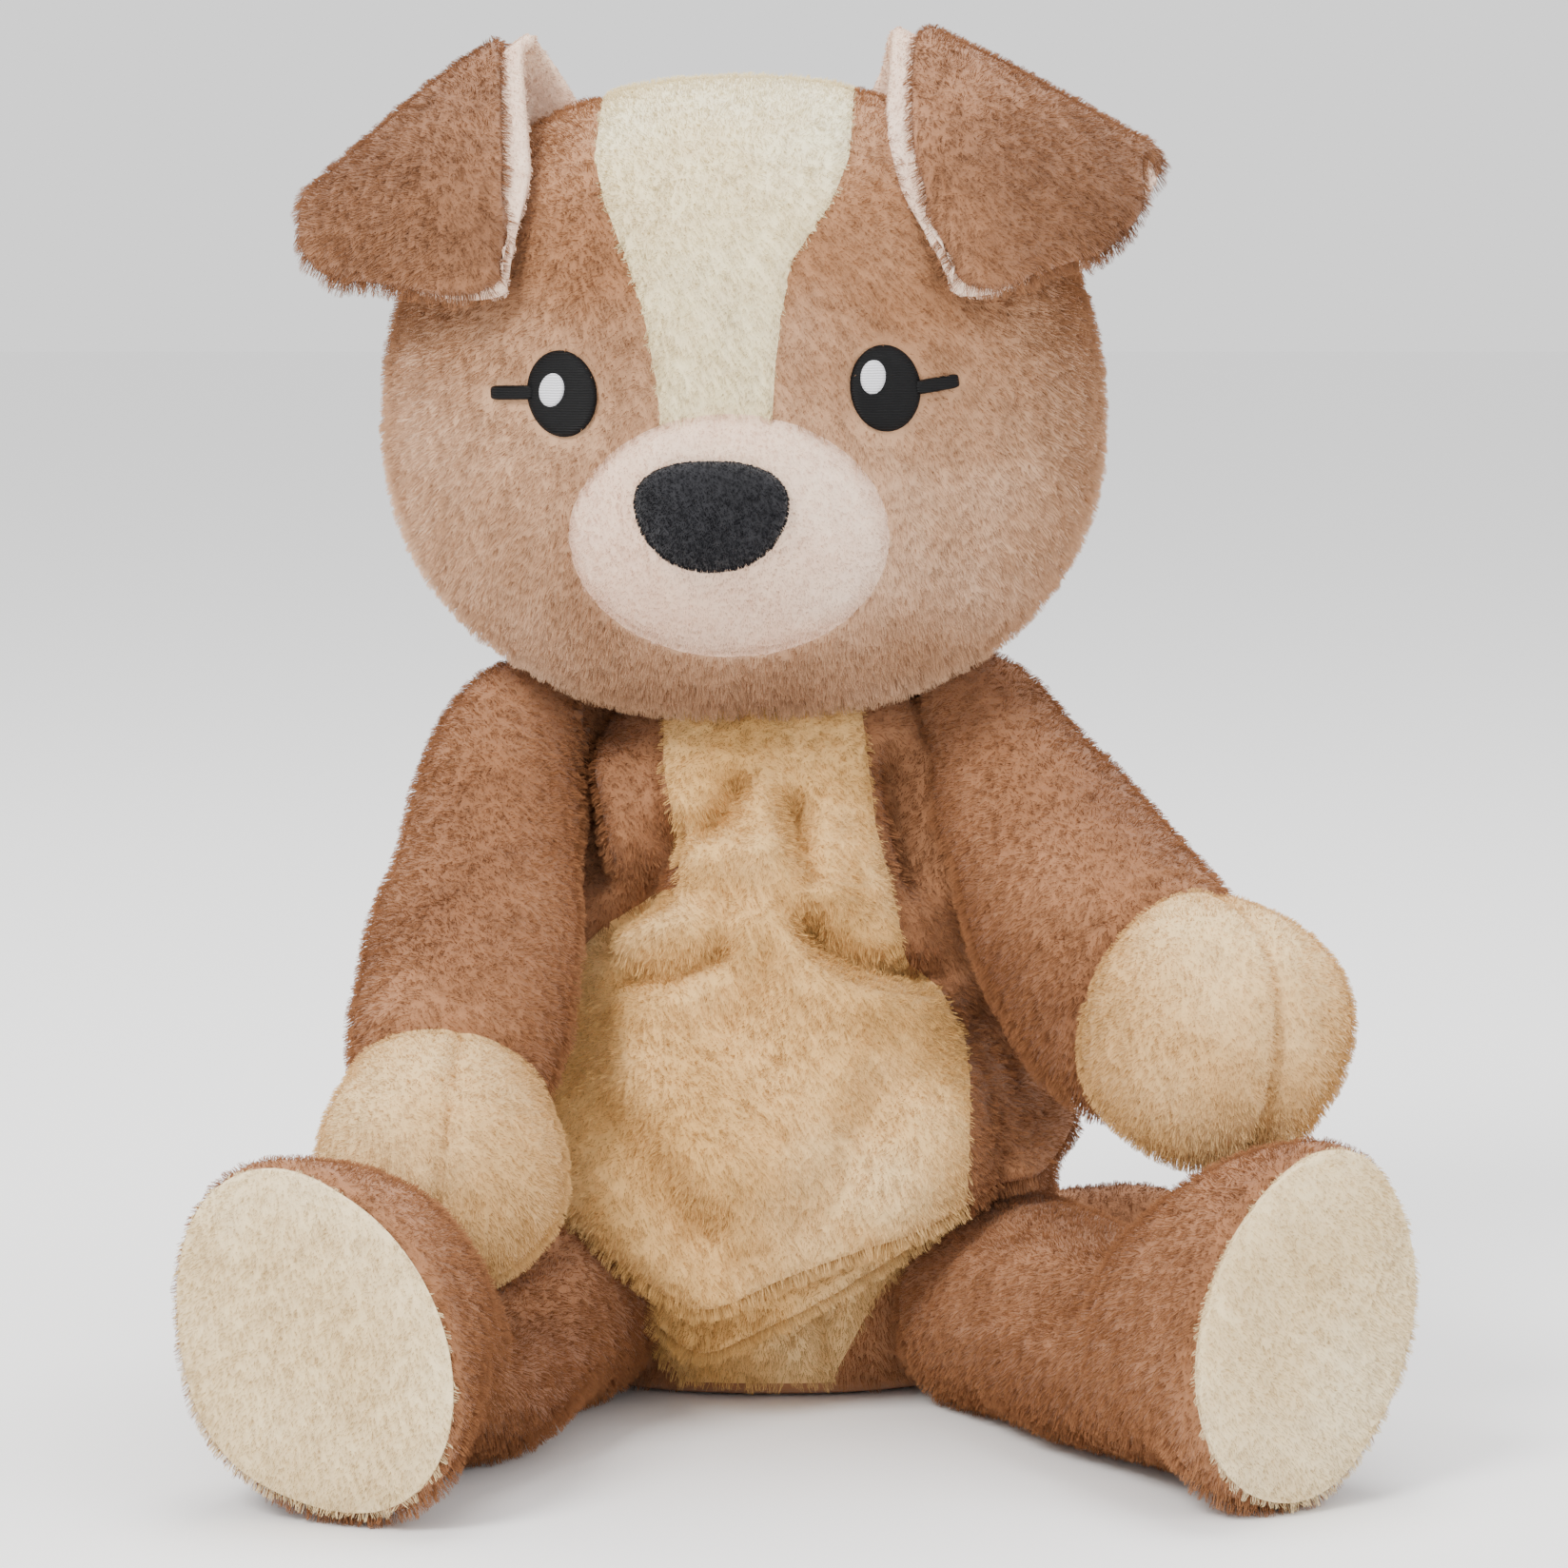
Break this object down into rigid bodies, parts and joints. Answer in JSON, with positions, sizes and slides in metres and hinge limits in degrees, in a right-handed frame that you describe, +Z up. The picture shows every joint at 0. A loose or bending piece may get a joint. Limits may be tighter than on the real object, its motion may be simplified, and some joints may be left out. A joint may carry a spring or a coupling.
{
  "type": "plush dog",
  "caption": "Soft seated toy dog of short-pile cloth with folded ears, oval muzzle, slack belly, ball paws and flat oval soles; head, ears, limbs and tail move.",
  "frame": {"origin": "middle of the flat seat, on the surface the toy sits on", "axes": "+Z up, the toy faces -Y, +X is the toy's own left"},
  "size_m": [0.2605, 0.2508, 0.3053],
  "materials": {
    "brown_pile": "short dense pile, soft sheen, warm tan brown",
    "cream_pile": "short dense pile, cream",
    "golden_pile": "short dense pile, golden cream",
    "muzzle_cloth": "very short brushed pile, pale pink",
    "nose_pile": "short fuzzy pile, black",
    "lining_pile": "short pile, pale pink",
    "black_thread": "satin embroidery, charcoal black",
    "white_thread": "satin embroidery, pale grey",
    "filling": "loose polyester fibre filling",
    "bead_cloth": "thin woven bag of weighting beads"
  },
  "bodies": {
    "torso": {"belly_panel": "golden_pile", "torso_side_left": "brown_pile", "torso_side_right": "brown_pile", "torso_back": "brown_pile", "seat_panel": "brown_pile", "torso_stuffing": "filling", "bead_pouch": "bead_cloth"},
    "neck": {"neck_collar": "brown_pile", "neck_stuffing": "filling"},
    "head": {"head_side_left": "brown_pile", "head_side_right": "brown_pile", "head_back_left": "brown_pile", "head_back_right": "brown_pile", "forehead_blaze": "cream_pile", "muzzle": "muzzle_cloth", "nose": "nose_pile", "eye_left": "black_thread", "eye_right": "black_thread", "eye_highlight_left": "white_thread", "eye_highlight_right": "white_thread", "eyelash_left": "black_thread", "eyelash_right": "black_thread", "head_stuffing": "filling", "ear_base_lining_left": "lining_pile", "ear_base_lining_right": "lining_pile", "ear_base_outer_left": "brown_pile", "ear_base_outer_right": "brown_pile"},
    "ear_flap_left": {"ear_flap_outer_left": "brown_pile", "ear_flap_lining_left": "lining_pile"},
    "ear_flap_right": {"ear_flap_outer_right": "brown_pile", "ear_flap_lining_right": "lining_pile"},
    "arm_left": {"arm_sleeve_left": "brown_pile", "arm_stuffing_left": "filling", "paw_inner_panel_left": "cream_pile", "paw_outer_panel_left": "cream_pile"},
    "arm_right": {"arm_sleeve_right": "brown_pile", "arm_stuffing_right": "filling", "paw_inner_panel_right": "cream_pile", "paw_outer_panel_right": "cream_pile"},
    "leg_left": {"leg_sleeve_left": "brown_pile", "leg_stuffing_left": "filling", "foot_sole_left": "cream_pile"},
    "leg_right": {"leg_sleeve_right": "brown_pile", "leg_stuffing_right": "filling", "foot_sole_right": "cream_pile"},
    "tail": {"tail_skin": "brown_pile", "tail_stuffing": "filling"}
  },
  "joints": [
    {"name": "neck_turn", "type": "hinge", "parent": "torso", "child": "neck", "pos_m": [-0.0037, 0, 0.147], "axis": [0, 0, 1], "range_deg": [-30, 30]},
    {"name": "head_nod", "type": "hinge", "parent": "neck", "child": "head", "pos_m": [-0.0037, 0, 0.1536], "axis": [1, 0, 0], "range_deg": [-7, 7]},
    {"name": "arm_left_lift", "type": "hinge", "parent": "torso", "child": "arm_left", "pos_m": [0.0545, -0.003, 0.151], "axis": [-1, 0, 0], "range_deg": [0, 17]},
    {"name": "arm_right_lift", "type": "hinge", "parent": "torso", "child": "arm_right", "pos_m": [-0.0565, -0.003, 0.15], "axis": [-1, 0, 0], "range_deg": [0, 17]},
    {"name": "leg_left_splay", "type": "hinge", "parent": "torso", "child": "leg_left", "pos_m": [0.055, -0.037, 0], "axis": [0, 0, 1], "range_deg": [-8, 25]},
    {"name": "leg_right_splay", "type": "hinge", "parent": "torso", "child": "leg_right", "pos_m": [-0.047, -0.037, 0], "axis": [0, 0, -1], "range_deg": [-8, 25]},
    {"name": "tail_wag", "type": "hinge", "parent": "torso", "child": "tail", "pos_m": [0.036, 0.066, 0], "axis": [0, 0, 1], "range_deg": [-5, 55]},
    {"name": "ear_right_lift", "type": "hinge", "parent": "head", "child": "ear_flap_right", "pos_m": [-0.057, -0.0105, 0.3015], "axis": [-0.7393, -0.09, -0.6673], "range_deg": [0, 75]},
    {"name": "ear_left_lift", "type": "hinge", "parent": "head", "child": "ear_flap_left", "pos_m": [0.041, -0.0105, 0.3045], "axis": [-0.8519, 0.062, 0.52], "range_deg": [0, 75]}
  ]
}
